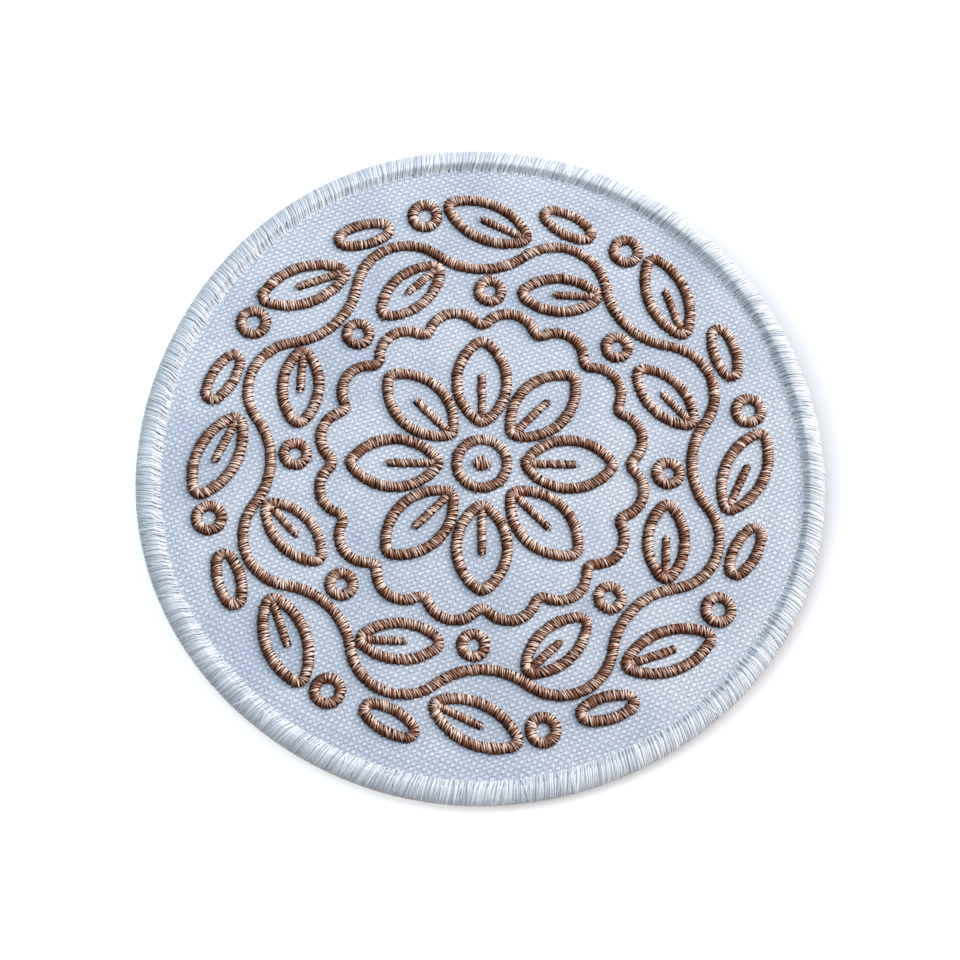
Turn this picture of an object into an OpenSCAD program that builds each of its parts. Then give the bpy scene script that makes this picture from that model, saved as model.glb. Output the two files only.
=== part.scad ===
// Round embroidered clothing patch, lying on its back: a canvas disc held in the groove of an
// overlocked border, with satin-stitched motifs on its face. Z = 0 is the table.
// Lengths are in millimetres and angles in degrees, counted from +X towards +Y.

/* [Patch] */
// Mean width of the patch across its border
patch_d = 90; // [88:1:110]
// Thickness of the canvas with its stiff backing
cloth_t = 1.0; // [0.8:0.1:1.2]
// Height of the canvas's underside above the table
cloth_lift = 0.4; // [0.3:0.05:0.5]

/* [Border] */
// Width of the border, seen from the front
border_w = 3; // [2.9:0.1:3.6]
// Thickness of the border, from the table to its crown
border_t = 2.2; // [1.9:0.1:2.6]
// How far in from the outline the border's crown lies
border_crown = 2; // [1.4:0.1:2]
// How far the border reaches over the canvas's edge
border_grip = 1.7; // [1.2:0.1:1.8]
// Thickness of the border's inner lip where it ends on the canvas
lip_t = 0.1; // [0.05:0.05:0.2]
// How much narrower the border is behind the canvas
back_step = 0.3; // [0.2:0.1:0.4]

/* [Outline] */
// Swing of the outline out and in at its three soft corners
corner_swing = 0.28; // [0:0.02:0.5]
// Direction of one of the three corners
corner_turn = -23; // [-60:1:60]
// Swing of the outline at its five smaller bulges
bulge_swing = 0.12; // [0:0.02:0.2]
// Direction of one of the five bulges
bulge_turn = -22; // [-36:1:36]

/* [Satin stitch] */
// Width of a satin column
satin_w = 1.5; // [1.2:0.05:1.5]
// Height of a satin column above the canvas
satin_h = 0.6; // [0.4:0.05:0.7]
// Width of the narrow column that veins a petal or a leaf
vein_w = 1.2; // [0.9:0.05:1.2]
// Height of the vein above the canvas
vein_h = 0.5; // [0.3:0.05:0.5]
// Length of the vein as a share of its petal or leaf
vein_share = 0.6; // [0.4:0.05:0.7]
// Radius of the column's bend round a tip
tip_r = 0.95; // [0.85:0.05:1.1]
// Play between pieces that lie on each other
play = 0.05; // [0.02:0.01:0.1]

/* [Flower] */
// Radius of the ring at the flower's centre, to the middle of its column
centre_r = 3.3; // [2.2:0.1:3.4]
// Radius of the knot inside that ring
knot_r = 1.15; // [0.8:0.05:1.3]
// Number of petals
petals = 8; // [5:1:8]
// Distance of a petal's foot from the centre
petal_foot = 5.7; // [5.6:0.1:6]
// Length of a petal
petal_l = 11.4; // [9:0.1:11.6]
// Half the width of a petal
petal_half = 3.3; // [2:0.1:3.3]

/* [Scalloped ring] */
// Number of scallops
scallops = 16; // [12:1:18]
// Radius at which a scallop turns into the next one's hollow
scallop_r = 19.9; // [19.7:0.1:20.2]
// Slant of the column at that turn
scallop_slant = 50; // [40:1:55]
// Share of each half wave that the scallop takes up
scallop_share = 0.8; // [0.76:0.01:0.8]

/* [Vine] */
// Number of waves, each with two leaves, two berries and a bud
waves = 8; // [4:1:8]
// Mean radius of the vine
vine_r = 30; // [29.8:0.1:30.2]
// Slant of the vine where it crosses its mean radius
vine_slant = 48; // [44:1:50]

/* [Leaves] */
// Length of an outer leaf
leaf_out_l = 11.5; // [8:0.1:11.6]
// Half the width of an outer leaf
leaf_out_half = 2.6; // [1.8:0.1:2.7]
// Outer leaf's foot, outwards and along the vine, from the wave's trough
leaf_out_foot = [32, -6];
// How far an outer leaf leans outwards from the vine's run
leaf_out_lean = 25; // [20:1:28]
// Length of an inner leaf
leaf_in_l = 10; // [7:0.1:10]
// Half the width of an inner leaf
leaf_in_half = 2.4; // [1.7:0.1:2.4]
// Inner leaf's foot, outwards and along the vine, from the wave's crest
leaf_in_foot = [27.75, -5.2];
// How far an inner leaf leans inwards from the vine's run
leaf_in_lean = 20; // [15:1:22]

/* [Berries and buds] */
// Radius of an outer berry, to the middle of its column
berry_out_r = 1.65; // [1.2:0.05:1.65]
// Outer berry's centre, outwards and along the vine, from the wave's trough
berry_out_place = [35.2, 7.7];
// Radius of an inner berry, to the middle of its column
berry_in_r = 1.5; // [1.2:0.05:1.5]
// Inner berry's centre, outwards and along the vine, from the wave's crest
berry_in_place = [22.9, 8.3];
// Length of a bud
bud_l = 7; // [5:0.1:7]
// Half the width of a bud
bud_half = 1.45; // [1.2:0.05:1.5]
// Bud's foot, outwards and along the vine, from the wave's trough
bud_foot = [33.3, 12.5];
// Turn of a bud from the wave's direction outwards
bud_turn = 106; // [104:1:108]

/* [Hidden] */
round_fn = 64;
outline_steps = 96;
crown_steps = 5;
slope_steps = 3;
side_steps = 6;
tip_steps = 4;
vine_steps = [7, 7];
scallop_steps = [5, 3];
cloth_top = cloth_lift + cloth_t;
stitch_z = cloth_top + play;
cloth_inset = border_w - border_grip;
canvas_colour = [0.76, 0.81, 0.88];
border_colour = [0.93, 0.95, 0.97];
thread_colour = [0.66, 0.46, 0.36];

function numbered(name, count) = [for (i = [1 : count]) str(name, "_", i)];

// Radius of the patch's outline in one direction
function outline_r(a) = patch_d / 2
    + corner_swing * cos(3 * (a - corner_turn))
    + bulge_swing * cos(5 * (a - bulge_turn));

function outline(inset) = [
    for (i = [0 : outline_steps - 1])
        let (a = 360 * i / outline_steps, r = outline_r(a) - inset) [r * cos(a), r * sin(a)]
];

// Border's section as [inwards from the outline, height]: round outside, a slope down to the
// canvas inside, and a groove that takes the canvas's edge
function border_section() = let (lip = cloth_top + play + lip_t) concat(
    [for (i = [0 : crown_steps]) let (a = 270 - 180 * i / crown_steps)
        [border_crown * (1 + cos(a)), border_t / 2 * (1 + sin(a))]],
    [for (i = [1 : slope_steps]) let (t = i / slope_steps)
        [border_crown + (border_w - border_crown) * t, border_t + (lip - border_t) * t * t]],
    [
        [border_w, cloth_top + play],
        [cloth_inset - play, cloth_top + play],
        [cloth_inset - play, cloth_lift - play],
        [border_w - back_step, cloth_lift - play],
        [border_w - 2 * back_step, 0]
    ]
);

// Satin column's section as [sideways, height]: flat underneath and crowned on top
function bead(width, height) = [
    for (row = [[0.5, 0], [0.3, 0.75], [0, 1], [-0.3, 0.75], [-0.5, 0]]) [row[0] * width, row[1] * height]
];

// Points along an arc, without its last one, as [x, y, direction of the column's right side]
function arc(centre, radius, from, sweep, steps) = let (side = sweep > 0 ? 0 : 180) [
    for (i = [0 : steps - 1]) let (a = from + sweep * i / steps)
        [centre[0] + radius * cos(a), centre[1] + radius * sin(a), a + side]
];

// Radius of the long side arcs of an oval whose round tips they meet smoothly
function side_radius(length, half) =
    ((length / 2 - tip_r) ^ 2 + half ^ 2 - tip_r ^ 2) / (2 * (half - tip_r));

// Path of a long oval along +X from its foot at the origin
function oval_path(length, half) = let (
    side = side_radius(length, half),
    swing = asin((length / 2 - tip_r) / (side - tip_r))
) concat(
    arc([length / 2, side - half], side, 270 - swing, 2 * swing, side_steps),
    arc([length - tip_r, 0], tip_r, swing - 90, 180 - 2 * swing, tip_steps),
    arc([length / 2, half - side], side, 90 - swing, 2 * swing, side_steps),
    arc([tip_r, 0], tip_r, 90 + swing, 180 - 2 * swing, tip_steps)
);

// Closed wavy ring of arcs that meet smoothly: each crest arc takes its share of the half
// wave, and each trough arc the rest. The column slants by slant where they meet, and steps
// holds the points of a crest and of a trough.
function wavy_path(count, radius, slant, share, steps) = let (
    crest = share * 180 / count,
    trough = (1 - share) * 180 / count,
    crest_turn = slant + crest,
    trough_turn = slant - trough,
    crest_far = radius * sin(slant) / sin(crest_turn),
    crest_r = radius * sin(crest) / sin(crest_turn),
    trough_far = radius * sin(slant) / sin(trough_turn),
    trough_r = radius * sin(trough) / sin(trough_turn)
) [
    for (i = [0 : count - 1]) let (at = 360 * i / count, next = at + 180 / count) each concat(
        arc(trough_far * [cos(at), sin(at)], trough_r, at + 180 + trough_turn, -2 * trough_turn, steps[1]),
        arc(crest_far * [cos(next), sin(next)], crest_r, next - crest_turn, 2 * crest_turn, steps[0])
    )
];

// Faces of a skin over rows of n points; the last row meets the first
function ring_faces(rows, n) = [
    for (i = [0 : rows - 1], j = [0 : n - 1])
        let (k = (i + 1) % rows, m = (j + 1) % n) [i * n + j, i * n + m, k * n + m, k * n + j]
];

// Satin column along a closed path
module column_loop(path) {
    section = bead(satin_w, satin_h);
    points = [
        for (p = path, s = section) [p[0] + s[0] * cos(p[2]), p[1] + s[0] * sin(p[2]), s[1]]
    ];
    polyhedron(points, ring_faces(len(path), len(section)), convexity = 6);
}

// Satin column round a full circle
module column_circle(radius) {
    rotate_extrude($fn = round_fn) translate([radius, 0]) polygon(bead(satin_w, satin_h));
}

// Straight narrow column along +X
module vein(length) {
    rotate([90, 0, 90]) linear_extrude(height = length) polygon(bead(vein_w, vein_h));
}

module veined_oval(length, half) {
    column_loop(oval_path(length, half));
    vein(length * vein_share);
}

// Puts a motif on the canvas at turn i of count, in thread colour
module stitched(i, count) {
    color(thread_colour) translate([0, 0, stitch_z]) rotate([0, 0, (i - 1) * 360 / count]) children();
}

module ground_cloth() {
    color(canvas_colour) translate([0, 0, cloth_lift])
        linear_extrude(height = cloth_t) polygon(outline(cloth_inset));
}

module border() {
    section = border_section();
    points = [
        for (i = [0 : outline_steps - 1], p = section)
            let (a = 360 * i / outline_steps, r = outline_r(a) - p[0]) [r * cos(a), r * sin(a), p[1]]
    ];
    color(border_colour) polyhedron(points, ring_faces(outline_steps, len(section)), convexity = 4);
}

module flower_centre() {
    stitched(1, 1) column_circle(centre_r);
}

module flower_knot() {
    stitched(1, 1) rotate_extrude($fn = round_fn) intersection() {
        polygon(bead(2 * knot_r, satin_h));
        square([knot_r, satin_h]);
    }
}

module scalloped_ring() {
    stitched(1, 1) column_loop(wavy_path(scallops, scallop_r, scallop_slant, scallop_share, scallop_steps));
}

module vine() {
    stitched(1, 1) column_loop(wavy_path(waves, vine_r, vine_slant, 0.5, vine_steps));
}

module petal(i) {
    stitched(i, petals) translate([petal_foot, 0, 0]) veined_oval(petal_l, petal_half);
}

module leaf_out(i) {
    stitched(i, waves) translate(leaf_out_foot) rotate([0, 0, 90 - leaf_out_lean])
        veined_oval(leaf_out_l, leaf_out_half);
}

module leaf_in(i) {
    stitched(i + 0.5, waves) translate(leaf_in_foot) rotate([0, 0, 90 + leaf_in_lean])
        veined_oval(leaf_in_l, leaf_in_half);
}

module berry_out(i) {
    stitched(i, waves) translate(berry_out_place) column_circle(berry_out_r);
}

module berry_in(i) {
    stitched(i + 0.5, waves) translate(berry_in_place) column_circle(berry_in_r);
}

module bud(i) {
    stitched(i, waves) translate(bud_foot) rotate([0, 0, bud_turn]) column_loop(oval_path(bud_l, bud_half));
}

ground_cloth();
border();
flower_centre();
flower_knot();
scalloped_ring();
vine();
for (i = [1 : petals]) petal(i);
for (i = [1 : waves]) leaf_out(i);
for (i = [1 : waves]) leaf_in(i);
for (i = [1 : waves]) berry_out(i);
for (i = [1 : waves]) berry_in(i);
for (i = [1 : waves]) bud(i);
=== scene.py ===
# Looks of the embroidered clothing patch: woven canvas, wrapped border threads and satin stitches.
# Shapes are worked out in millimetres and radians, and written to the meshes in metres.
import math

import bpy
import numpy as np
from mathutils import Matrix, Vector
from mathutils.kdtree import KDTree


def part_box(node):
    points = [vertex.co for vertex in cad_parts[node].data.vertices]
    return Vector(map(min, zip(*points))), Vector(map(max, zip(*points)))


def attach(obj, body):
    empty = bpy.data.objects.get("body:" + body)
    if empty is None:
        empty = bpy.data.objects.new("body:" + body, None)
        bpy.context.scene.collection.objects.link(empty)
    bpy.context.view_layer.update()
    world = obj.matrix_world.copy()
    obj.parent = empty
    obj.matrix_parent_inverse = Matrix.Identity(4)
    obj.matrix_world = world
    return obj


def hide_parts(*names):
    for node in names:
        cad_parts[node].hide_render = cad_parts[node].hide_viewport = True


MM = 0.001
chance = np.random.default_rng(7)

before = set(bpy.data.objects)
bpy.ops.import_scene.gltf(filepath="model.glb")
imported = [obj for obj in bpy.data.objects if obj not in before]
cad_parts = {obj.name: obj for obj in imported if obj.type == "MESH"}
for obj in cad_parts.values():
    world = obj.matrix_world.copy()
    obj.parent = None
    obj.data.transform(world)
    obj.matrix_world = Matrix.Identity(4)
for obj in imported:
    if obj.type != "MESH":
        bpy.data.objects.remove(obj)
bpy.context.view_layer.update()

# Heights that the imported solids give
CLOTH_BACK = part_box("ground_cloth")[0].z / MM
CLOTH_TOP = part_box("ground_cloth")[1].z / MM
BORDER_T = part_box("border")[1].z / MM
STITCH_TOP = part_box("vine")[1].z / MM

# Outline: a circle with a slight swing in three lobes and another in five
PATCH_D = 90
CORNER_SWING = 0.28
CORNER_TURN = math.radians(-23)
BULGE_SWING = 0.12
BULGE_TURN = math.radians(-22)

# Border: its width, how far in it is thickest, how much canvas it grips, and its return behind
BORDER_W = 3
BORDER_CROWN = 2
BORDER_GRIP = 1.7
BACK_W = 2.4
CLOTH_INSET = BORDER_W - BORDER_GRIP

# Line of the border's section: points round the edge and down the slope, where the slope starts as a
# share of its width, how far above the canvas it ends, and how the threads are tucked in behind
EDGE_POINTS = 31
SLOPE_POINTS = 25
SLOPE_START = 0.04
SLOPE_END = 0.05
BACK_TUCK = 0.1
BACK_LIFT = 0.02

# Points where the wraps' ends sink into the canvas: how far in from the border, and how deep
WRAP_SINK = ((0.12, 0), (0.3, 0.12), (0.36, 0.25))

# Filling under the wraps: its depth in half threads, its steps round the patch, the gap at its lip,
# the room for the canvas in its groove, how far out the groove reaches, and how much its back is short
CORE_SHARE = 1.15
CORE_STEPS = 240
LIP_GAP = 0.06
GROOVE_ROOM = 0.03
GROOVE_REACH = 0.1
CORE_BACK_GAP = 0.3

# Satin stitch columns, with a vein's tip as a share of its width and how fast it widens from there
SATIN_W = 1.5
VEIN_W = 1.2
VEIN_SHARE = 0.6
VEIN_DROP = 0.1
VEIN_TIP = 0.45
VEIN_TAPER = 3
TIP_R = 0.95

# Motifs
PETALS = 8
CENTRE_R = 3.3
KNOT_R = 1.15
PETAL = {"foot": (5.7, 0), "turn": 0, "length": 11.4, "half": 3.3}
SCALLOPS = 16
SCALLOP_R = 19.9
SCALLOP_SLANT = math.radians(50)
SCALLOP_SHARE = 0.8
WAVES = 8
VINE_R = 30
VINE_SLANT = math.radians(48)
VINE_SHARE = 0.5
LEAF_OUT = {"foot": (32, -6), "turn": math.radians(65), "length": 11.5, "half": 2.6}
LEAF_IN = {"foot": (27.75, -5.2), "turn": math.radians(110), "length": 10, "half": 2.4}
BUD = {"foot": (33.3, 12.5), "turn": math.radians(106), "length": 7, "half": 1.45}
BERRY_OUT = {"place": (35.2, 7.7), "radius": 1.65}
BERRY_IN = {"place": (22.9, 8.3), "radius": 1.5}

# Paths: the step between their points, and over how many of them a bend is averaged
WALK_STEP = 0.05
BEND_POINTS = 9

# Spacing of the stitches along a column, and the most it may be at the outside of a bend
STITCH_GAP = 0.31
RIM_GAP = 0.42

# Satin stitches: half sizes, joints, how steep the arch is and where it is cut off, how far inside the
# canvas it starts, how far a stitch runs ahead at its end, how much thinner it is there, and its painted end
# shade
THREAD_HALF_W = 0.165
THREAD_HALF_T = 0.12
STITCH_CUTS = (-0.9, -0.68, -0.36, 0, 0.36, 0.68, 0.9)
ARCH_POWER = 0.55
ARCH_END = 0.985
STITCH_SINK = 0.06
SLANT = 0.2
ZIGZAG = 0.06
SLANT_DRIFT = 0.12
END_THIN = 0.7
END_PAINTED_SHADE = 0.3

# Spreads from stitch to stitch: reach, height and width as shares, slant and place in mm, and shade
STITCH_SPREAD = {"reach": 0.08, "height": 0.08, "slant": 0.06, "width": 0.1, "place": 0.04, "shade": 0.11}

# Painted sheen: each stitch's colour is paler on its side towards the key light and darker on the other
# side; its strength, and the way the light comes from
PAINTED_SHEEN = 0.38
PAINTED_SHEEN_WAY = (0.9, 0.44)

# Core under the stitches: the gaps beside and over it, how far inside the canvas it starts,
# and how many points of the path one step of it takes
CORE_SIDE_GAP = 0.04
CORE_TOP_GAP = 0.12
CORE_SINK = 0.05
CORE_WALK = 11
KNOT_CORE_WALK = 6

# Stitches of the knot: their spacing, and how far the first and the last stay inside its edge
KNOT_GAP = 0.34
KNOT_START = 0.12
KNOT_END = 0.05

# Bobbin threads behind the canvas, one to every second stitch
BOBBIN_HALF_W = 0.2
BOBBIN_HALF_T = 0.05
BOBBIN_CUTS = (-0.6, 0, 0.6)
BOBBIN_LIFT = 0.02
BOBBIN_RISE = -0.1
BOBBIN_EVERY = 2

# Slow drift along a row of threads: over how many of them, its size, and its share in their shades
DRIFT_THREADS = 13
DRIFT_SIZE = 0.6
DRIFT_SHARE = 0.4

# Wrapped threads of the border: spacing, half sizes, depth under the border's line, half length,
# how many joints they have, and how much the joints keep to an even spacing
WRAP_GAP = 0.27
WRAP_HALF_W = 0.2
WRAP_HALF_T = 0.06
WRAP_DEPTH = 0.03
WRAP_HALF_L = 3.5
WRAP_JOINTS = 17
JOINT_EVEN = 0.1

# How far a wrap leans round the patch from end to end, and the share of its length about which it
# turns; where and over what share it bulges inwards; how far past the border it reaches, and how much
# it thins out there
WRAP_LEAN = 1.3
WRAP_PIVOT = 0.55
CROWN_SHARE = 0.8
CROWN_SPAN = 0.12
WRAP_REACH = 0.08
WRAP_THIN = 0.15

# Drifts round the border, each as its size in mm and the threads that one swing spans
LEAN_DRIFT = (0.8, 40)
LEAN_WAVER = (0.3, 9)
REACH_DRIFT = (0.05, 12)

# Spreads from wrap to wrap: spacing and width as shares, shade, and the others in mm
WRAP_SPREAD = {
    "spacing": 0.2, "lean": 0.18, "reach": 0.03, "sway": 0.08, "bulge": 0.06, "width": 0.12, "shade": 0.24,
}
WRAP_LIFT = (-0.02, 0.01)

# Threads that stray over the others: one to so many wraps, with wider spreads
WRAPS_PER_STRAY = 7
STRAY_SPREAD = {"lean": 1.1, "sway": 0.15}
STRAY_REACH = (0, 0.2)
STRAY_LIFT = (0, 0.03)

# Weave of the canvas, the step of its mesh, and how far its knuckles rise and its corners drop
WEAVE_PITCH = 0.52
WEAVE_TURN = math.radians(17)
CLOTH_STEP = WEAVE_PITCH / 2
KNUCKLE_RISE = 0.07
CORNER_DROP = 0.05

# Soft waves of the canvas, each as its change in x and in y and its start, in radians
WAVE_RISE = 0.05
CLOTH_WAVES = ((0.21, 0.13, 1.0), (0.11, -0.24, 2.0))

# The canvas puffs up between the seams, is drawn down at them and at the border, and ends inside it.
# SEAM_WALK counts the path points from mark to mark of a seam, and faces up to BACK_LEVEL over the
# back are backing.
PUFF_RISE = 0.1
SEAM_PULL = 0.12
SEAM_REACH = 1.8
SEAM_WALK = 4
HEM_PULL = 0.03
HEM_REACH = 0.9
EDGE_DROP = 0.1
BACK_LEVEL = 0.1

# Patterns of the canvas: fuzz on the yarn, slubs in it and soft blotches, in mm; the shares that rows
# and fuzz have in a knuckle, where it starts, and how high the lower yarn lies against it
YARN_FUZZ = WEAVE_PITCH / 2.3
YARN_SLUB = WEAVE_PITCH / 1.5
BLOTCH = 13
ROW_SHARE = 0.45
FUZZ_SHARE = 0.8
KNUCKLE_START = 0.7
UNDER_SHARE = 0.25
WEAVE_BUMP = 0.06

# Streaks of a thread. Its filaments, about 0.02 mm thick, are too fine to show, so the streaks are
# drawn some ten times as coarse: so many to a mm along the thread and so many round it. Each thread
# starts anywhere in their pattern, within a shift given in half lengths.
STREAKS_PER_MM = 1.5
STREAKS_ROUND = 5
STREAK_SHARE = 1.2
STREAK_BASE = 0.2
STREAK_SHIFT = 400

# Camera, as the outline in the photograph gives it
VIEW_DISTANCE = 290
VIEW_RISE = math.radians(71.69)
VIEW_SIDE = math.radians(-95.1)
VIEW_AIM = Vector((-0.2, -2.1, 1.0))
VIEW_LENS = 82.95

# The floor glows, but not in a painted soft shadow round the patch: that shadow's middle, how far out
# it is full, and from where the glow is full; the floor's width is in metres
FLOOR_GLOW = 0.6
PAINTED_SHADOW_PLACE = (4, 0.5, 0)
PAINTED_SHADOW_R = 41
GLOW_R = 47.5
FLOOR_SIZE = 6

# Way to the brightest part of the surround, how dim it is on the far side, and how much it gains
WINDOW_WAY = (0.72, 0.6, 0.34)
ROOM_DIM = 0.25
ROOM_GAIN = 0.47

# Lamps: degrees round from +X and up from the table, metres away and across, watts and colour
KEY_LIGHT = {"side": 25, "rise": 30, "distance": 0.7, "size": 0.5, "power": 5.0, "colour": "FFF4EF"}
OVERHEAD_LIGHT = {"side": 135, "rise": 62, "distance": 0.3, "size": 0.2, "power": 0.34, "colour": "B6E4FF"}


def linear(hex_colour):
    """Linear RGBA of an sRGB hex colour."""
    parts = [int(hex_colour[i:i + 2], 16) / 255 for i in (0, 2, 4)]
    return [c / 12.92 if c <= 0.04045 else ((c + 0.055) / 1.055) ** 2.4 for c in parts] + [1]


def set_inputs(owner, node, inputs):
    """Gives a node its inputs, each of them a value or the socket that feeds it."""
    for name, value in inputs.items():
        if isinstance(value, bpy.types.NodeSocket):
            owner.node_tree.links.new(value, node.inputs[name])
        else:
            node.inputs[name].default_value = value


def add_node(owner, kind, inputs=None, **settings):
    """Adds a node with its inputs and settings to a material or the world, and gives its outputs."""
    made = owner.node_tree.nodes.new("ShaderNode" + kind)
    for name, value in settings.items():
        setattr(made, name, value)
    set_inputs(owner, made, inputs or {})
    return made.outputs


def new_material(name):
    """An empty node material and its surface shader."""
    material = bpy.data.materials.new(name)
    material.use_nodes = True
    return material, material.node_tree.nodes["Principled BSDF"]


def canvas_knuckles(material, weave, crossing, along):
    """Share of knuckle: where the upper yarn crosses, run together into rows, with a fuzzy edge."""
    fine = {"Vector": weave, "Scale": WEAVE_PITCH / YARN_FUZZ, "Detail": 1.0}
    fuzz = add_node(material, "TexNoise", fine)[0]
    row = add_node(material, "Math", {0: along, 1: along}, operation="MULTIPLY")[0]
    rows = add_node(material, "Math", {0: row, 1: ROW_SHARE, 2: crossing}, operation="MULTIPLY_ADD")[0]
    raised = add_node(material, "Math", {0: rows, 1: KNUCKLE_START}, operation="SUBTRACT")[0]
    uneven = add_node(material, "Math", {0: fuzz, 1: FUZZ_SHARE, 2: raised}, operation="MULTIPLY_ADD")[0]
    edge = {"Value": uneven, "From Min": -0.2, "From Max": 0.5}
    return add_node(material, "MapRange", edge, interpolation_type="SMOOTHSTEP")[0]


def canvas_colour(material, weave, knuckle, under):
    """Hollows painted greyer as shade, the lower yarn in them a little lighter, and the knuckles, dulled a
    little by slubs and soft blotches.
    """
    # Painted shade: the hollows are greyer than the pale knuckles
    lower = {0: under, 6: linear("C8CCD4"), 7: linear("E3E5EC")}
    hollows = add_node(material, "Mix", lower, data_type="RGBA")[2]
    upper = {0: knuckle, 6: hollows, 7: linear("F9F9FC")}
    colour = add_node(material, "Mix", upper, data_type="RGBA")[2]
    for size, detail, start, dull in ((YARN_SLUB, 3.0, 0.35, "DDE1E8"), (BLOTCH, 4.0, 0.3, "E6EAF1")):
        cloudy = {"Vector": weave, "Scale": WEAVE_PITCH / size, "Detail": detail}
        clean = {"Value": add_node(material, "TexNoise", cloudy)[0], "From Min": start, "From Max": 0.7}
        share = add_node(material, "MapRange", clean, interpolation_type="SMOOTHSTEP")[0]
        shades = {0: share, 6: linear(dull), 7: linear("FFFFFF")}
        both = {0: 1.0, 6: colour, 7: add_node(material, "Mix", shades, data_type="RGBA")[2]}
        colour = add_node(material, "Mix", both, data_type="RGBA", blend_type="MULTIPLY")[2]
    return colour


def canvas_material():
    """Plain weave of matt polyester yarn: pale knuckles in rows, with hollows between them painted blue-grey
    as shade.
    """
    material, shader = new_material("plain_weave_polyester_canvas")
    place = add_node(material, "TexCoord")["Object"]
    in_threads = {"Vector": place, "Rotation": (0, 0, -WEAVE_TURN), "Scale": (1 / (WEAVE_PITCH * MM),) * 3}
    weave = add_node(material, "Mapping", in_threads)[0]
    axes = add_node(material, "SeparateXYZ", {0: weave})
    turns = [add_node(material, "Math", {0: axes[i], 1: math.pi}, operation="MULTIPLY")[0] for i in (0, 1)]
    across, along = [add_node(material, "Math", {0: turn}, operation="COSINE")[0] for turn in turns]
    crossing = add_node(material, "Math", {0: across, 1: along}, operation="MULTIPLY")[0]
    knuckle = canvas_knuckles(material, weave, crossing, along)
    lower = {"Value": crossing, "From Min": -0.35, "From Max": -0.95}
    under = add_node(material, "MapRange", lower, interpolation_type="SMOOTHSTEP")[0]
    relief = add_node(material, "Math", {0: under, 1: UNDER_SHARE, 2: knuckle}, operation="MULTIPLY_ADD")[0]
    bump = add_node(material, "Bump", {"Strength": 0.6, "Distance": WEAVE_BUMP * MM, "Height": relief})[0]
    colour = canvas_colour(material, weave, knuckle, under)
    set_inputs(material, shader, {"Base Color": colour, "Normal": bump, "Roughness": 0.62, "IOR": 1.5})
    return material


def thread_material(name, colours, crest_painted_light, ior, gloss_tint, bump):
    """Twisted filament thread: colours from dark to light by its tone, a painted highlight on its crest with
    painted shade below, and its streaks.
    """
    material, shader = new_material(name)
    dark, body, light = (linear(colour) for colour in colours)
    uv = add_node(material, "UVMap", uv_map="thread")[0]
    tone = add_node(material, "Attribute", attribute_name="tone")["Fac"]
    crest = add_node(material, "Attribute", attribute_name="crest")["Fac"]
    stretched = add_node(material, "Mapping", {"Vector": uv, "Scale": (STREAKS_PER_MM, STREAKS_ROUND, 1)})[0]
    streaks = add_node(material, "TexNoise", {"Vector": stretched, "Scale": 1.0, "Detail": 2.0})[0]
    # Painted highlight on each thread's crest and painted shade on its underside, added to its tone
    raised = add_node(material, "Math", {0: crest, 1: crest_painted_light, 2: tone}, operation="MULTIPLY_ADD")[0]
    lowered = add_node(material, "Math", {0: raised, 1: STREAK_BASE}, operation="SUBTRACT")[0]
    sum_of = {0: streaks, 1: STREAK_SHARE, 2: lowered}
    share = add_node(material, "Math", sum_of, operation="MULTIPLY_ADD")[0]
    colour = dark
    for start, end, paler in ((0.7, 1.15, body), (1.15, 1.6, light)):
        step = {"Value": share, "From Min": start, "From Max": end}
        part = add_node(material, "MapRange", step, interpolation_type="SMOOTHSTEP")[0]
        colour = add_node(material, "Mix", {0: part, 6: colour, 7: paler}, data_type="RGBA")[2]
    normal = add_node(material, "Bump", {"Strength": 0.5, "Distance": bump * MM, "Height": streaks})[0]
    # The filaments lie along the thread, so its gloss follows the thread's own direction
    tangent = add_node(material, "Tangent", direction_type="UV_MAP", uv_map="thread")[0]
    set_inputs(material, shader, {
        "Base Color": colour, "Normal": normal, "Tangent": tangent, "Anisotropic": 0.7,
        "Anisotropic Rotation": 0.25, "Roughness": 0.45, "Specular Tint": linear(gloss_tint), "IOR": ior,
    })
    return material


def plain_material(name, dark, light, grain):
    """Matt fibre stuff under and behind the threads, mottled by a grain given in millimetres."""
    material, shader = new_material(name)
    place = add_node(material, "TexCoord")["Object"]
    noise = add_node(material, "TexNoise", {"Vector": place, "Scale": 1 / (grain * MM), "Detail": 3.0})[0]
    mottle = {"Value": noise, "From Min": 0.3, "From Max": 0.7}
    share = add_node(material, "MapRange", mottle, interpolation_type="SMOOTHSTEP")[0]
    colour = add_node(material, "Mix", {0: share, 6: linear(dark), 7: linear(light)}, data_type="RGBA")[2]
    set_inputs(material, shader, {"Base Color": colour, "Roughness": 0.9, "Specular IOR Level": 0.2})
    return material


def floor_material():
    """Matt white table top that glows as if overexposed, except in a painted soft shadow about the patch."""
    material, shader = new_material("glowing_table_with_painted_shadow")
    place = add_node(material, "TexCoord")["Object"]
    middle = [distance * MM for distance in PAINTED_SHADOW_PLACE]
    away = add_node(material, "VectorMath", {0: place, 1: middle}, operation="DISTANCE")["Value"]
    # Painted shadow: the floor's glow is absent within a disc about the patch
    edge = {"Value": away, "From Min": PAINTED_SHADOW_R * MM, "From Max": GLOW_R * MM}
    share = add_node(material, "MapRange", edge, interpolation_type="SMOOTHSTEP")[0]
    glow = add_node(material, "Math", {0: share, 1: FLOOR_GLOW}, operation="MULTIPLY")[0]
    set_inputs(material, shader, {
        "Base Color": linear("DADADC"), "Roughness": 0.9, "Emission Color": linear("FFFFFF"),
        "Emission Strength": glow,
    })
    return material


def deselect_all():
    bpy.ops.object.select_all(action="DESELECT")


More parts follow.
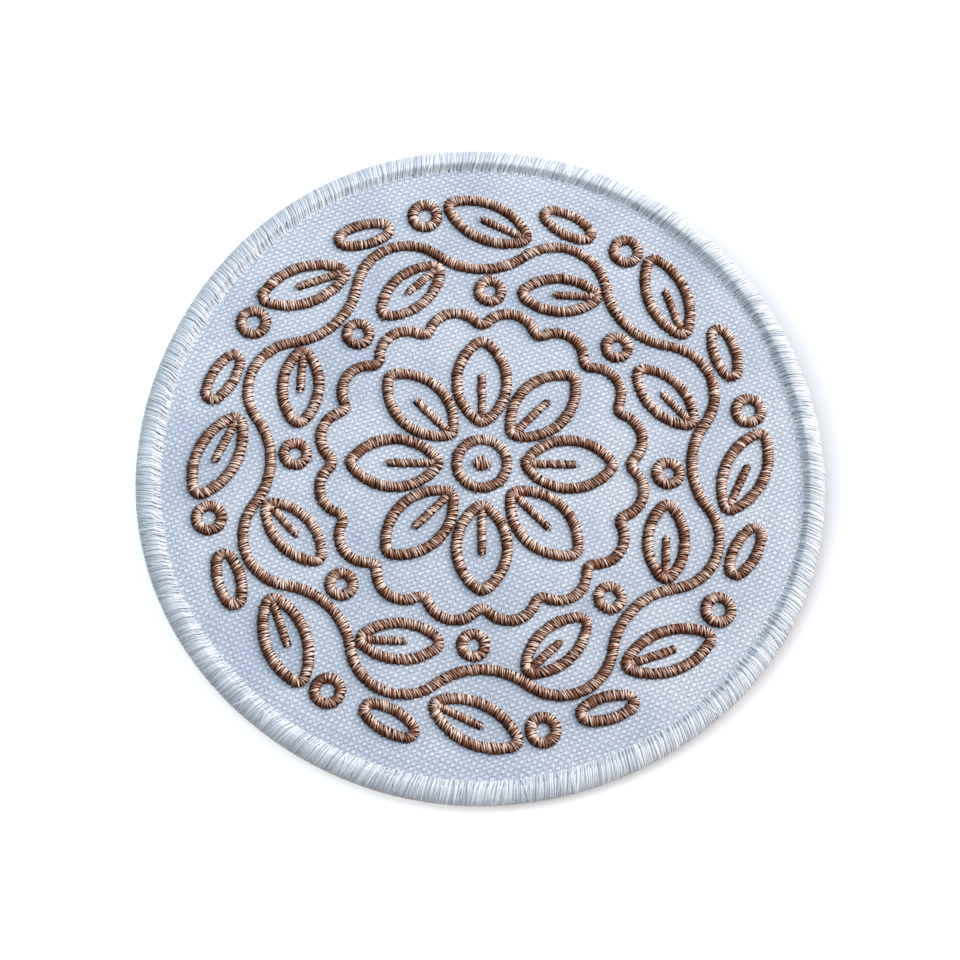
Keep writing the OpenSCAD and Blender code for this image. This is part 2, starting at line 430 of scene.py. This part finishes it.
def points_of(mesh):
    """A mesh's points, one row of x, y and z for each."""
    points = np.empty(len(mesh.vertices) * 3)
    mesh.vertices.foreach_get("co", points)
    return points.reshape(-1, 3)


def chosen_points(mesh):
    """Which of a mesh's points are selected."""
    chosen = np.empty(len(mesh.vertices), bool)
    mesh.vertices.foreach_get("select", chosen)
    return chosen


def read_thread(mesh):
    """Points of a modelled thread, its faces' corners and sizes, and each corner's place round it."""
    corners = np.empty(len(mesh.loops), np.int32)
    mesh.loops.foreach_get("vertex_index", corners)
    sizes = np.empty(len(mesh.polygons), np.int32)
    mesh.polygons.foreach_get("loop_total", sizes)
    around = np.empty(len(mesh.loops) * 2)
    mesh.uv_layers.active.data.foreach_get("uv", around)
    return {"points": points_of(mesh), "corners": corners, "sizes": sizes, "round": around[::2]}


def model_thread(sides, cuts):
    """Unit thread along X from -1 to 1 with a round section, bisected where it will bend."""
    deselect_all()
    lying = (math.pi / 2, 0, math.pi / 2)
    bpy.ops.mesh.primitive_cylinder_add(vertices=sides, radius=1, depth=2, rotation=lying)
    thread = bpy.context.object
    bpy.ops.object.transform_apply(rotation=True)
    bpy.ops.object.mode_set(mode="EDIT")
    for cut in cuts:
        bpy.ops.mesh.select_all(action="SELECT")
        bpy.ops.mesh.bisect(plane_co=(cut, 0, 0), plane_no=(1, 0, 0))
    bpy.ops.object.mode_set(mode="OBJECT")
    unit = read_thread(thread.data)
    bpy.data.objects.remove(thread)
    return unit


def copies_of(unit, points, half_length, tone, material):
    """Copies of a unit thread as one shell; points has a row for each copy, with all of its points."""
    copies, count = points.shape[:2]
    offsets = np.arange(copies)[:, None] * count
    along = half_length * (unit["points"][unit["corners"], 0] + chance.uniform(0, STREAK_SHIFT, (copies, 1)))
    uv = np.stack(np.broadcast_arrays(along, unit["round"]), axis=2)
    return {
        "points": points.reshape(-1, 3),
        "corners": (unit["corners"][None, :] + offsets).ravel(),
        "sizes": np.tile(unit["sizes"], copies),
        "uv": uv.reshape(-1, 2),
        "tone": np.broadcast_to(tone, (copies, count)).ravel(),
        "crest": np.broadcast_to(unit["points"][:, 2], (copies, count)).ravel(),
        "material": material,
    }


def tube(points, material, closed):
    """Shell through rows of a section's points, closed to a ring or capped, without thread pattern."""
    rows, n = points.shape[:2]
    i, j = np.meshgrid(np.arange(rows if closed else rows - 1), np.arange(n), indexing="ij")
    after, beside = (i + 1) % rows, (j + 1) % n
    corners = np.stack((i * n + j, after * n + j, after * n + beside, i * n + beside), axis=2).ravel()
    sizes = np.full(len(corners) // 4, 4)
    if not closed:
        ends = (np.arange(n)[::-1], (rows - 1) * n + np.arange(n))
        corners = np.concatenate((corners, *ends))
        sizes = np.concatenate((sizes, [n, n]))
    nothing = np.zeros(rows * n)
    return {
        "points": points.reshape(-1, 3), "corners": corners, "sizes": sizes,
        "uv": np.zeros((len(corners), 2)), "tone": nothing, "crest": nothing, "material": material,
    }


def joined(shells, key):
    """The same array of all the shells, end to end."""
    return np.concatenate([shell[key] for shell in shells])


def shells_mesh(name, shells):
    """Points and faces of all the shells, in metres, as one smooth mesh."""
    starts = np.cumsum([0] + [len(shell["points"]) for shell in shells[:-1]])
    points = joined(shells, "points") * MM
    corners = np.concatenate([shell["corners"] + start for shell, start in zip(shells, starts)])
    sizes = joined(shells, "sizes")
    mesh = bpy.data.meshes.new(name)
    mesh.vertices.add(len(points))
    mesh.vertices.foreach_set("co", points.ravel())
    mesh.loops.add(len(corners))
    mesh.loops.foreach_set("vertex_index", corners.astype(np.int32))
    mesh.polygons.add(len(sizes))
    mesh.polygons.foreach_set("loop_start", (np.cumsum(sizes) - sizes).astype(np.int32))
    mesh.polygons.foreach_set("loop_total", sizes.astype(np.int32))
    mesh.polygons.foreach_set("use_smooth", np.ones(len(sizes), bool))
    return mesh


def join_shells(name, shells, materials):
    """One object out of shells, with their materials, thread coordinates, tones and crests."""
    mesh = shells_mesh(name, shells)
    used = [np.full(len(shell["sizes"]), materials.index(shell["material"])) for shell in shells]
    mesh.polygons.foreach_set("material_index", np.concatenate(used).astype(np.int32))
    mesh.update(calc_edges=True)
    mesh.uv_layers.new(name="thread")
    mesh.uv_layers["thread"].data.foreach_set("uv", joined(shells, "uv").ravel())
    for attribute in ("tone", "crest"):
        values = joined(shells, attribute).astype(np.float32)
        mesh.attributes.new(attribute, "FLOAT", "POINT").data.foreach_set("value", values)
    for material in materials:
        mesh.materials.append(material)
    mesh.validate()
    piece = bpy.data.objects.new(name, mesh)
    bpy.context.scene.collection.objects.link(piece)
    return piece


def outline_radius(turn):
    """Radius of the patch's outline in each direction."""
    corners = CORNER_SWING * np.cos(3 * (turn - CORNER_TURN))
    bulges = BULGE_SWING * np.cos(5 * (turn - BULGE_TURN))
    return PATCH_D / 2 + corners + bulges


def round_patch(radius, turn, height):
    """Points at a radius and a turn round the patch's middle, and at a height."""
    return np.stack(np.broadcast_arrays(radius * np.cos(turn), radius * np.sin(turn), height), axis=-1)


def beside_path(path, off, on, height):
    """Points off to the right of each row of a path, on ahead of it, and at a height."""
    x, y, heading = (v[:, None] for v in path.T)
    return np.stack(np.broadcast_arrays(
        x + np.sin(heading) * off + np.cos(heading) * on,
        y - np.cos(heading) * off + np.sin(heading) * on,
        height,
    ), axis=-1)


def arc(centre, radius, start, sweep):
    """Close points along an arc, as rows of x, y and heading."""
    count = math.ceil(abs(sweep) * radius / WALK_STEP)
    turn = start + sweep * np.arange(count) / count
    heading = turn + math.copysign(math.pi / 2, sweep)
    return np.column_stack((centre[0] + radius * np.cos(turn), centre[1] + radius * np.sin(turn), heading))


def circle_path(radius):
    return arc((0, 0), radius, 0, 2 * math.pi)


def straight_path(length):
    x = np.arange(0, length, WALK_STEP)
    return np.column_stack((x, 0 * x, 0 * x))


def oval_path(length, half):
    """Long oval along +X from its foot at the origin, round at both tips."""
    side = ((length / 2 - TIP_R) ** 2 + half ** 2 - TIP_R ** 2) / (2 * (half - TIP_R))
    swing = math.asin((length / 2 - TIP_R) / (side - TIP_R))
    quarter = math.pi / 2
    return np.concatenate((
        arc((length / 2, side - half), side, -quarter - swing, 2 * swing),
        arc((length - TIP_R, 0), TIP_R, swing - quarter, math.pi - 2 * swing),
        arc((length / 2, half - side), side, quarter - swing, 2 * swing),
        arc((TIP_R, 0), TIP_R, quarter + swing, math.pi - 2 * swing),
    ))


def wavy_path(count, radius, slant, share):
    """Closed ring of crests and troughs that meet smoothly at radius; crests take that share of it."""
    crest = share * math.pi / count
    trough = (1 - share) * math.pi / count
    crest_turn = slant + crest
    trough_turn = slant - trough
    crest_far = radius * math.sin(slant) / math.sin(crest_turn)
    crest_r = radius * math.sin(crest) / math.sin(crest_turn)
    trough_far = radius * math.sin(slant) / math.sin(trough_turn)
    trough_r = radius * math.sin(trough) / math.sin(trough_turn)
    arcs = []
    for i in range(count):
        at = 2 * math.pi * i / count
        after = at + math.pi / count
        low = (trough_far * math.cos(at), trough_far * math.sin(at))
        high = (crest_far * math.cos(after), crest_far * math.sin(after))
        arcs.append(arc(low, trough_r, at + math.pi + trough_turn, -2 * trough_turn))
        arcs.append(arc(high, crest_r, after - crest_turn, 2 * crest_turn))
    return np.concatenate(arcs)


def placed(path, foot=(0, 0), turn=0.0):
    """A path turned about its origin and moved to its foot."""
    x, y, heading = path.T
    c, s = math.cos(turn), math.sin(turn)
    return np.column_stack((foot[0] + c * x - s * y, foot[1] + s * x + c * y, heading + turn))


def stitch_places(path, half_w, closed):
    """Rows of x, y and heading where the stitches cross the path, closer together in bends."""
    after = np.roll(path, -1, axis=0)
    step = np.hypot(after[:, 0] - path[:, 0], after[:, 1] - path[:, 1])
    bend = np.abs((after[:, 2] - path[:, 2] + math.pi) % (2 * math.pi) - math.pi)
    if not closed:
        step[-1] = bend[-1] = 0
    average = np.ones(BEND_POINTS) / BEND_POINTS
    curve = np.convolve(np.concatenate((bend, bend, bend)), average, "same")[len(bend):-len(bend)]
    curve = curve / np.median(step)
    gap = np.minimum(STITCH_GAP, RIM_GAP / (1 + curve * half_w))
    walked = np.concatenate(([0], np.cumsum(step / gap)))
    count = round(walked[-1])
    wanted = (np.arange(count) + (0 if closed else 0.5)) * walked[-1] / count
    heading = np.unwrap(np.append(path[:, 2], after[-1, 2]))
    end = after[-1] if closed else path[-1]
    x = np.append(path[:, 0], end[0])
    y = np.append(path[:, 1], end[1])
    return np.column_stack([np.interp(wanted, walked, v) for v in (x, y, heading)])


def wander(count):
    """A slow random drift along a row of threads, mostly within 1 either way."""
    window = np.ones(DRIFT_THREADS) / DRIFT_THREADS ** 0.5
    return DRIFT_SIZE * np.convolve(chance.normal(0, 1, count + DRIFT_THREADS - 1), window, "valid")


def tones(count, spread):
    """A shade for each of a row of threads: its own, and a slow drift along the row."""
    return np.clip(0.5 + spread * (chance.normal(0, 1, count) + DRIFT_SHARE * wander(count)), 0, 1)


def arch(s):
    """Height and slope of a stitch over its column, s from -1 to 1."""
    s = np.clip(s, -ARCH_END, ARCH_END)
    room = 1 - s ** 2
    return room ** ARCH_POWER, -2 * ARCH_POWER * s * room ** (ARCH_POWER - 1)


def arched(unit, places, half_w, base, rise, size, material):
    """Threads over a column: each runs across the path from one side to the other, over the arch."""
    count = len(places)
    s, side, up = unit["points"].T
    left, right = half_w * (1 + chance.normal(0, STITCH_SPREAD["reach"], (2, count, 1)))
    height, slope = arch(s)
    height = height * (1 + chance.normal(0, STITCH_SPREAD["height"], (count, 1)))
    tilt = np.arctan2(rise * slope, half_w)
    reach = np.where(s > 0, right, left) * s
    zigzag = ZIGZAG * np.where(np.arange(count) % 2, 1, -1)
    ahead = SLANT + zigzag + SLANT_DRIFT * wander(count) + chance.normal(0, STITCH_SPREAD["slant"], count)
    thick = 1 - END_THIN * np.abs(s) ** 3
    width = size[0] * (1 + chance.normal(0, STITCH_SPREAD["width"], (count, 1)))
    off = reach - np.sin(tilt) * up * size[1] * thick
    on = side * width * thick + ahead[:, None] * s + chance.normal(0, STITCH_SPREAD["place"], (count, 1))
    heading = places[:, 2:]
    # Besides its own random shade, each stitch gets a painted sheen, paler towards the key light, and
    # painted shade at its ends
    lit = np.sin(heading) * PAINTED_SHEEN_WAY[0] - np.cos(heading) * PAINTED_SHEEN_WAY[1]
    tone = tones(count, STITCH_SPREAD["shade"])[:, None] + PAINTED_SHEEN * lit * s - END_PAINTED_SHADE * np.abs(s) ** 5
    points = beside_path(places, off, on, base + rise * height + np.cos(tilt) * up * size[1] * thick)
    return copies_of(unit, points, SATIN_W / 2, tone, material)


def core(path, half_w, rise, closed):
    """Half-round core that the stitches are sewn over, carried along a path."""
    turns = np.radians(np.linspace(0, 180, 5))
    side = (half_w - CORE_SIDE_GAP) * np.cos(turns)
    height = CLOTH_TOP - CORE_SINK + (rise - CORE_TOP_GAP) * np.sin(turns)
    return tube(beside_path(path, side, 0, height), UNDERLAY, closed)


def column(path, width, top, closed):
    """Shells of one satin column: its core, its stitches and the bobbin thread behind the canvas."""
    places = stitch_places(path, width / 2, closed)
    half_w = np.full((len(places), 1), width / 2)
    if not closed:
        walked = np.arange(len(places)) / (len(places) - 1)
        half_w[:, 0] *= np.minimum(1, VEIN_TIP + VEIN_TAPER * (1 - walked))
    base = CLOTH_TOP - STITCH_SINK
    rise = top - THREAD_HALF_T - base
    back = CLOTH_BACK + BOBBIN_LIFT
    bobbin = (BOBBIN_HALF_W, BOBBIN_HALF_T)
    behind = slice(None, None, BOBBIN_EVERY)
    return [
        core(path[::CORE_WALK], width / 2, rise, closed),
        arched(STITCH, places, half_w, base, rise, (THREAD_HALF_W, THREAD_HALF_T), SATIN),
        arched(BOBBIN, places[behind], half_w[behind], back, BOBBIN_RISE, bobbin, BOBBIN_THREAD),
    ]


def knot(radius):
    """Shells of a filled disc: its core, and stitches side by side, each as long as its chord."""
    x = np.arange(-radius + KNOT_START, radius - KNOT_END, KNOT_GAP)
    places = np.column_stack((x, 0 * x, 0 * x))
    half_w = np.sqrt(radius ** 2 - x ** 2)[:, None]
    base = CLOTH_TOP - STITCH_SINK
    rise = STITCH_TOP - THREAD_HALF_T - base
    return [
        core(circle_path(radius / 2)[::KNOT_CORE_WALK], radius / 2, rise, True),
        arched(STITCH, places, half_w, base, rise, (THREAD_HALF_W, THREAD_HALF_T), SATIN),
    ]


def motif(node, shells):
    """A stitched motif that stands for its CAD node."""
    piece = join_shells(node + "_stitches", shells, [SATIN, UNDERLAY, BOBBIN_THREAD])
    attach(piece, "root")
    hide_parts(node)
    return piece


def veined(shape, turn):
    """Columns of a petal or leaf: its oval and the vein from its foot, each with width and top."""
    foot = placed(np.array([[*shape["foot"], shape["turn"]]]), turn=turn)[0]
    oval = placed(oval_path(shape["length"], shape["half"]), foot[:2], foot[2])
    vein = placed(straight_path(shape["length"] * VEIN_SHARE), foot[:2], foot[2])
    return [(oval, SATIN_W, STITCH_TOP, True), (vein, VEIN_W, STITCH_TOP - VEIN_DROP, False)]


def berry(shape, turn):
    """The one column of a berry, a small ring."""
    centre = placed(np.array([[*shape["place"], 0]]), turn=turn)[0]
    return [(placed(circle_path(shape["radius"]), centre[:2]), SATIN_W, STITCH_TOP, True)]


def bud(turn):
    """The one column of a bud, an oval too narrow for a vein."""
    return veined(BUD, turn)[:1]


def motif_columns():
    """Each motif's node and its columns."""
    scallops = wavy_path(SCALLOPS, SCALLOP_R, SCALLOP_SLANT, SCALLOP_SHARE)
    vine = wavy_path(WAVES, VINE_R, VINE_SLANT, VINE_SHARE)
    whole = {
        "flower_centre": [(circle_path(CENTRE_R), SATIN_W, STITCH_TOP, True)],
        "scalloped_ring": [(scallops, SATIN_W, STITCH_TOP, True)],
        "vine": [(vine, SATIN_W, STITCH_TOP, True)],
    }
    for i in range(PETALS):
        whole[f"petal_{i + 1}"] = veined(PETAL, 2 * math.pi * i / PETALS)
    for i in range(WAVES):
        trough = 2 * math.pi * i / WAVES
        crest = trough + math.pi / WAVES
        whole[f"leaf_out_{i + 1}"] = veined(LEAF_OUT, trough)
        whole[f"leaf_in_{i + 1}"] = veined(LEAF_IN, crest)
        whole[f"berry_out_{i + 1}"] = berry(BERRY_OUT, trough)
        whole[f"berry_in_{i + 1}"] = berry(BERRY_IN, crest)
        whole[f"bud_{i + 1}"] = bud(trough)
    return whole


def border_line():
    """Outer line of the border's section from its back edge to the canvas, as inwards and height."""
    back = [[BACK_W, BACK_TUCK], [BACK_W - BACK_TUCK, BACK_LIFT]]
    turns = np.radians(np.linspace(270, 90, EDGE_POINTS))
    edge = np.column_stack((BORDER_CROWN * (1 + np.cos(turns)), BORDER_T / 2 * (1 + np.sin(turns))))
    t = np.linspace(SLOPE_START, 1, SLOPE_POINTS)
    # The polynomial of t leaves the crown level, meets the canvas level and bends softly between
    drop = (CLOTH_TOP + SLOPE_END - BORDER_T) * t ** 3 * (10 - 15 * t + 6 * t * t)
    slope = np.column_stack((BORDER_CROWN + (BORDER_W - BORDER_CROWN) * t, BORDER_T + drop))
    end = [[BORDER_W + inwards, CLOTH_TOP - depth] for inwards, depth in WRAP_SINK]
    return np.concatenate((back, edge, slope, end))


def line_ways(line):
    """How far along it each point of a line is, as a share, and the line's direction there."""
    step = np.hypot(*np.diff(line, axis=0).T)
    walked = np.concatenate(([0], np.cumsum(step))) / step.sum()
    way = np.gradient(line, walked, axis=0)
    return walked, way / np.hypot(*way.T)[:, None]


def border_cuts():
    """Where the wrapped threads have their joints, from -1 to 1: closest where the section bends most."""
    walked, way = line_ways(border_line())
    turned = np.abs(np.diff(np.unwrap(np.arctan2(way[:, 1], way[:, 0]))))
    weight = np.sqrt(turned * np.diff(walked)) + JOINT_EVEN * np.diff(walked)
    bent = np.concatenate(([0], np.cumsum(weight)))
    share = np.arange(1, WRAP_JOINTS + 1) / (WRAP_JOINTS + 1)
    return 2 * np.interp(share, bent / bent[-1], walked) - 1


def border_threads(turns, lean, sway, reach, lift):
    """Threads wrapped round the edge, from the back over the crown to the canvas."""
    line = border_line()
    walked, way = line_ways(line)
    count = len(turns)
    t, side, up = WRAP["points"].T
    t = (t + 1) / 2
    inwards, height, way_in, way_up = (np.interp(t, walked, v) for v in (*line.T, *way.T))
    depth = WRAP_DEPTH + WRAP_HALF_T * (1 - up) - lift[:, None]
    bulge = np.abs(chance.normal(0, WRAP_SPREAD["bulge"], (count, 1)))
    shoulder = bulge * np.exp(-((t - CROWN_SHARE) / CROWN_SPAN) ** 2)
    inwards = inwards + reach[:, None] * t ** 6 + shoulder + way_up * depth
    height = height - way_in * depth
    width = WRAP_HALF_W * (1 + chance.normal(0, WRAP_SPREAD["width"], (count, 1))) * (1 - WRAP_THIN * t ** 8)
    radius = outline_radius(turns)[:, None] - inwards
    bend = lean[:, None] * (t - WRAP_PIVOT) + sway[:, None] * np.sin(2 * math.pi * t)
    points = round_patch(radius, turns[:, None] + (bend - side * width) / radius, height)
    tone = tones(count, WRAP_SPREAD["shade"])[:, None]
    return copies_of(WRAP, points, WRAP_HALF_L, tone, BORDER_THREAD)


def drifted(count, size, width):
    """Slow random drift round a closed ring, of that size at its strongest."""
    window = np.hanning(width)
    wave = np.real(np.fft.ifft(np.fft.fft(chance.normal(0, 1, count)) * np.fft.fft(window, count)))
    return size * (wave / np.abs(wave).max())


def even_wraps(count):
    """Threads side by side round the whole edge; their lean and their reach drift slowly."""
    turns = 2 * math.pi * (np.arange(count) + chance.normal(0, WRAP_SPREAD["spacing"], count)) / count
    lean = WRAP_LEAN + drifted(count, *LEAN_DRIFT) + drifted(count, *LEAN_WAVER)
    lean = lean + chance.normal(0, WRAP_SPREAD["lean"], count)
    reach = WRAP_REACH + drifted(count, *REACH_DRIFT) + chance.normal(0, WRAP_SPREAD["reach"], count)
    sway = chance.normal(0, WRAP_SPREAD["sway"], count)
    return border_threads(turns, lean, sway, reach, chance.uniform(*WRAP_LIFT, count))


def stray_wraps(count):
    """Threads anywhere round the edge that lie askew over the others."""
    turns = chance.uniform(0, 2 * math.pi, count)
    lean = WRAP_LEAN + chance.normal(0, STRAY_SPREAD["lean"], count)
    reach = chance.uniform(*STRAY_REACH, count)
    sway = chance.normal(0, STRAY_SPREAD["sway"], count)
    return border_threads(turns, lean, sway, reach, chance.uniform(*STRAY_LIFT, count))


def core_line():
    """Section of the filling under the wrapped threads, with the groove that takes the canvas."""
    line = border_line()
    walked, way = line_ways(line)
    depth = WRAP_DEPTH + CORE_SHARE * WRAP_HALF_T
    joints = (1 + border_cuts()) / 2
    outside = np.column_stack([
        np.interp(joints, walked, line[:, 0] + depth * way[:, 1]),
        np.interp(joints, walked, line[:, 1] - depth * way[:, 0]),
    ])
    lip = BORDER_W - LIP_GAP
    outside = outside[(outside[:, 0] < lip) | (outside[:, 1] < CLOTH_BACK)]
    outer = CLOTH_INSET - GROOVE_REACH
    top, bottom = CLOTH_TOP + GROOVE_ROOM, CLOTH_BACK - GROOVE_ROOM
    groove = [(lip, top), (outer, top), (outer, bottom), (BACK_W - CORE_BACK_GAP, bottom)]
    return np.concatenate((outside[1:], groove))


def border_core():
    """The filling as a ring, its section carried round the patch's outline."""
    turn = 2 * math.pi * np.arange(CORE_STEPS)[:, None] / CORE_STEPS
    inwards, height = core_line().T
    return tube(round_patch(outline_radius(turn) - inwards, turn, height), BORDER_CORE, True)


def build_border():
    """The overlocked border: a core ring, the threads wrapped round it, and a few that stray."""
    count = round(math.pi * PATCH_D / WRAP_GAP)
    shells = [border_core(), even_wraps(count), stray_wraps(count // WRAPS_PER_STRAY)]
    piece = join_shells("border_wraps", shells, [BORDER_THREAD, BORDER_CORE])
    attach(piece, "root")
    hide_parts("border")
    return piece


def seam_tree(columns):
    """Points along the middle of every column, to be searched for the nearest one."""
    points = np.concatenate([part[0][::SEAM_WALK, :2] for parts in columns.values() for part in parts])
    tree = KDTree(len(points))
    for index, (x, y) in enumerate(points):
        tree.insert((x, y, 0), index)
    tree.balance()
    return tree


def cloth_heights(x, y, seams):
    """Height of the canvas's face over its flat: weave, soft waves, and puffs between the seams."""
    c, s = math.cos(WEAVE_TURN), math.sin(WEAVE_TURN)
    u, v = (c * x + s * y) / WEAVE_PITCH, (c * y - s * x) / WEAVE_PITCH
    crossing = np.cos(math.pi * u) * np.cos(math.pi * v)
    corner = (2 - np.cos(2 * math.pi * u) - np.cos(2 * math.pi * v)) / 4
    weave = KNUCKLE_RISE * np.maximum(crossing, 0) - CORNER_DROP * corner
    waves = sum(WAVE_RISE * np.sin(in_x * x + in_y * y + start) for in_x, in_y, start in CLOTH_WAVES)
    near = np.array([seams.find((a, b, 0))[2] for a, b in zip(x, y)])
    edge_gap = outline_radius(np.arctan2(y, x)) - np.hypot(x, y) - BORDER_W
    free = np.maximum(np.minimum(near - SATIN_W / 2, edge_gap), 0)
    puff = PUFF_RISE - SEAM_PULL * np.exp(-(free / SEAM_REACH) ** 2)
    hem = -HEM_PULL * np.exp(-(np.maximum(edge_gap, 0) / HEM_REACH) ** 2)
    return weave + waves + puff + hem


def cut_canvas():
    """A grid in step with the weave, cut to the outline, with its edge selected."""
    deselect_all()
    cells = round(PATCH_D / CLOTH_STEP)
    bpy.ops.mesh.primitive_grid_add(
        x_subdivisions=cells, y_subdivisions=cells, size=cells * CLOTH_STEP * MM,
        location=(0, 0, CLOTH_TOP * MM), rotation=(0, 0, WEAVE_TURN),
    )
    cloth = bpy.context.object
    cloth.name = cloth.data.name = "canvas"
    bpy.ops.object.transform_apply(location=True, rotation=True)
    x, y = points_of(cloth.data).T[:2] / MM
    outside = np.hypot(x, y) > outline_radius(np.arctan2(y, x)) - CLOTH_INSET
    bpy.ops.object.mode_set(mode="EDIT")
    bpy.ops.mesh.select_mode(type="VERT")
    bpy.ops.mesh.select_all(action="DESELECT")
    bpy.ops.object.mode_set(mode="OBJECT")
    cloth.data.vertices.foreach_set("select", outside)
    bpy.ops.object.mode_set(mode="EDIT")
    bpy.ops.mesh.delete(type="VERT")
    bpy.ops.mesh.select_all(action="SELECT")
    bpy.ops.mesh.region_to_loop()
    bpy.ops.object.mode_set(mode="OBJECT")
    return cloth


def shape_face(mesh, seams):
    """Raises the canvas's face as its weave and seams shape it, and rounds its selected edge."""
    points = points_of(mesh) / MM
    edge = chosen_points(mesh)
    turn = np.arctan2(points[edge, 1], points[edge, 0])
    points[:, 2] += cloth_heights(points[:, 0], points[:, 1], seams)
    points[edge] = round_patch(outline_radius(turn) - CLOTH_INSET, turn, CLOTH_TOP - EDGE_DROP)
    mesh.vertices.foreach_set("co", points.ravel() * MM)


def close_back(mesh):
    """Draws the selected edge down to the back's height and fills it flat."""
    bpy.ops.object.mode_set(mode="EDIT")
    bpy.ops.mesh.extrude_edges_move()
    bpy.ops.object.mode_set(mode="OBJECT")
    points = points_of(mesh) / MM
    points[chosen_points(mesh), 2] = CLOTH_BACK
    mesh.vertices.foreach_set("co", points.ravel() * MM)
    bpy.ops.object.mode_set(mode="EDIT")
    bpy.ops.mesh.fill()
    bpy.ops.object.mode_set(mode="OBJECT")


def dress_cloth(mesh):
    """Gives the smooth face its canvas and the flat back its backing."""
    mesh.materials.append(CANVAS)
    mesh.materials.append(BACKING)
    for face in mesh.polygons:
        back = face.center.z < (CLOTH_BACK + BACK_LEVEL) * MM
        face.material_index = 1 if back else 0
        face.use_smooth = not back


def build_cloth(seams):
    """The canvas with its backing, stretched in the border."""
    cloth = cut_canvas()
    shape_face(cloth.data, seams)
    close_back(cloth.data)
    dress_cloth(cloth.data)
    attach(cloth, "root")
    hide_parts("ground_cloth")
    return cloth


def build_camera():
    """The photograph's camera, with the patch's +Y upwards in its picture."""
    data = bpy.data.cameras.new("camera")
    data.lens = VIEW_LENS
    camera = bpy.data.objects.new("camera", data)
    bpy.context.scene.collection.objects.link(camera)
    flat = VIEW_DISTANCE * math.cos(VIEW_RISE)
    height = VIEW_DISTANCE * math.sin(VIEW_RISE)
    place = Vector((flat * math.cos(VIEW_SIDE), flat * math.sin(VIEW_SIDE), height))
    back = (place - VIEW_AIM).normalized()
    right = Vector((0, 1, 0)).cross(back).normalized()
    up = back.cross(right)
    camera.matrix_world = Matrix.Translation(place * MM) @ Matrix((right, up, back)).transposed().to_4x4()
    bpy.context.scene.camera = camera


def add_light(name, side, rise, distance, size, power, colour):
    """A square studio light that looks at the patch."""
    data = bpy.data.lights.new(name, "AREA")
    data.size = size
    data.energy = power
    data.color = linear(colour)[:3]
    lamp = bpy.data.objects.new(name, data)
    bpy.context.scene.collection.objects.link(lamp)
    side, rise = math.radians(side), math.radians(rise)
    away = Vector((math.cos(rise) * math.cos(side), math.cos(rise) * math.sin(side), math.sin(rise)))
    lamp.location = away * distance
    lamp.rotation_mode = "QUATERNION"
    lamp.rotation_quaternion = away.to_track_quat("Z", "Y")


def build_surround():
    """A room, brighter and cooler at the upper right, as from a window, dimmer and warmer opposite."""
    world = bpy.data.worlds.new("surround")
    world.use_nodes = True
    way = add_node(world, "TexCoord")["Generated"]
    facing = add_node(world, "VectorMath", {0: way, 1: WINDOW_WAY}, operation="DOT_PRODUCT")["Value"]
    share = add_node(world, "MapRange", {"Value": facing, "From Min": -0.6, "From Max": 0.9})[0]
    tints = {0: share, 6: linear("FBF1EF"), 7: linear("EEF8FF")}
    colour = add_node(world, "Mix", tints, data_type="RGBA")[2]
    strength = add_node(world, "Math", {0: share, 1: ROOM_GAIN, 2: ROOM_DIM}, operation="MULTIPLY_ADD")[0]
    set_inputs(world, world.node_tree.nodes["Background"], {"Color": colour, "Strength": strength})
    bpy.context.scene.world = world


def build_studio():
    """A pale floor, a warm key light low on the right and a small cool one high at the upper left."""
    deselect_all()
    bpy.ops.mesh.primitive_plane_add(size=FLOOR_SIZE)
    floor = bpy.context.object
    floor.name = "floor"
    floor.data.materials.append(floor_material())
    # The floor is only seen: neither it nor its glow lights the patch
    floor.visible_diffuse = False
    build_surround()
    add_light("key", **KEY_LIGHT)
    add_light("overhead", **OVERHEAD_LIGHT)
    bpy.context.scene.view_settings.view_transform = "Standard"


STITCH = model_thread(5, STITCH_CUTS)
BOBBIN = model_thread(4, BOBBIN_CUTS)
WRAP = model_thread(4, border_cuts())

# Polyester yarn, woven plain and stiffened: matt and nearly white, its crossings just told apart by hollows
# painted greyer as shade
CANVAS = canvas_material()

# Polyester fibres pressed to a felt: flat, dull and a little cloudy
BACKING = plain_material("nonwoven_polyester_backing", "D3D8DE", "E6E9ED", 0.6)

# Rayon filament, spun smooth and dyed: copper-brown with a silky sheen; the pale crest of each stitch is a
# painted highlight and its darker flanks painted shade
SATIN = thread_material(
    "glossy_rayon_thread", ("381206", "834C33", "FFE4D2"),
    crest_painted_light=0.5, ior=1.7, gloss_tint="F8D4BA", bump=0.03,
)

# Rayon sewn first and covered by the satin: the same brown painted dark as the shade it lies in, and dull
UNDERLAY = plain_material("underlay_thread_in_the_shade", "2E150C", "402216", 0.3)

# Thin white polyester from the bobbin: flat-lying, with a faint gloss and a painted highlight on its crest
BOBBIN_THREAD = thread_material(
    "polyester_bobbin_thread", ("B4B9C0", "D9DDE2", "F4F6F8"),
    crest_painted_light=0.3, ior=1.53, gloss_tint="FFFFFF", bump=0.02,
)

# Polyester thread, overlocked: cool white, bright where it catches light, grey between the strands; a little
# painted highlight on each strand's crest and painted shade on its flanks
BORDER_THREAD = thread_material(
    "polyester_border_thread", ("C4CAD3", "DEE3E9", "FAFBFC"),
    crest_painted_light=0.1, ior=1.8, gloss_tint="FFFFFF", bump=0.03,
)

# Polyester filling, seen only between the wraps: pale grey and dull
BORDER_CORE = plain_material("border_filling_thread", "D2D6DE", "DEE1E7", 0.3)

build_camera()
build_studio()
columns = motif_columns()
build_border()
for node, parts in columns.items():
    motif(node, [shell for part in parts for shell in column(*part)])
motif("flower_knot", knot(KNOT_R))
build_cloth(seam_tree(columns))
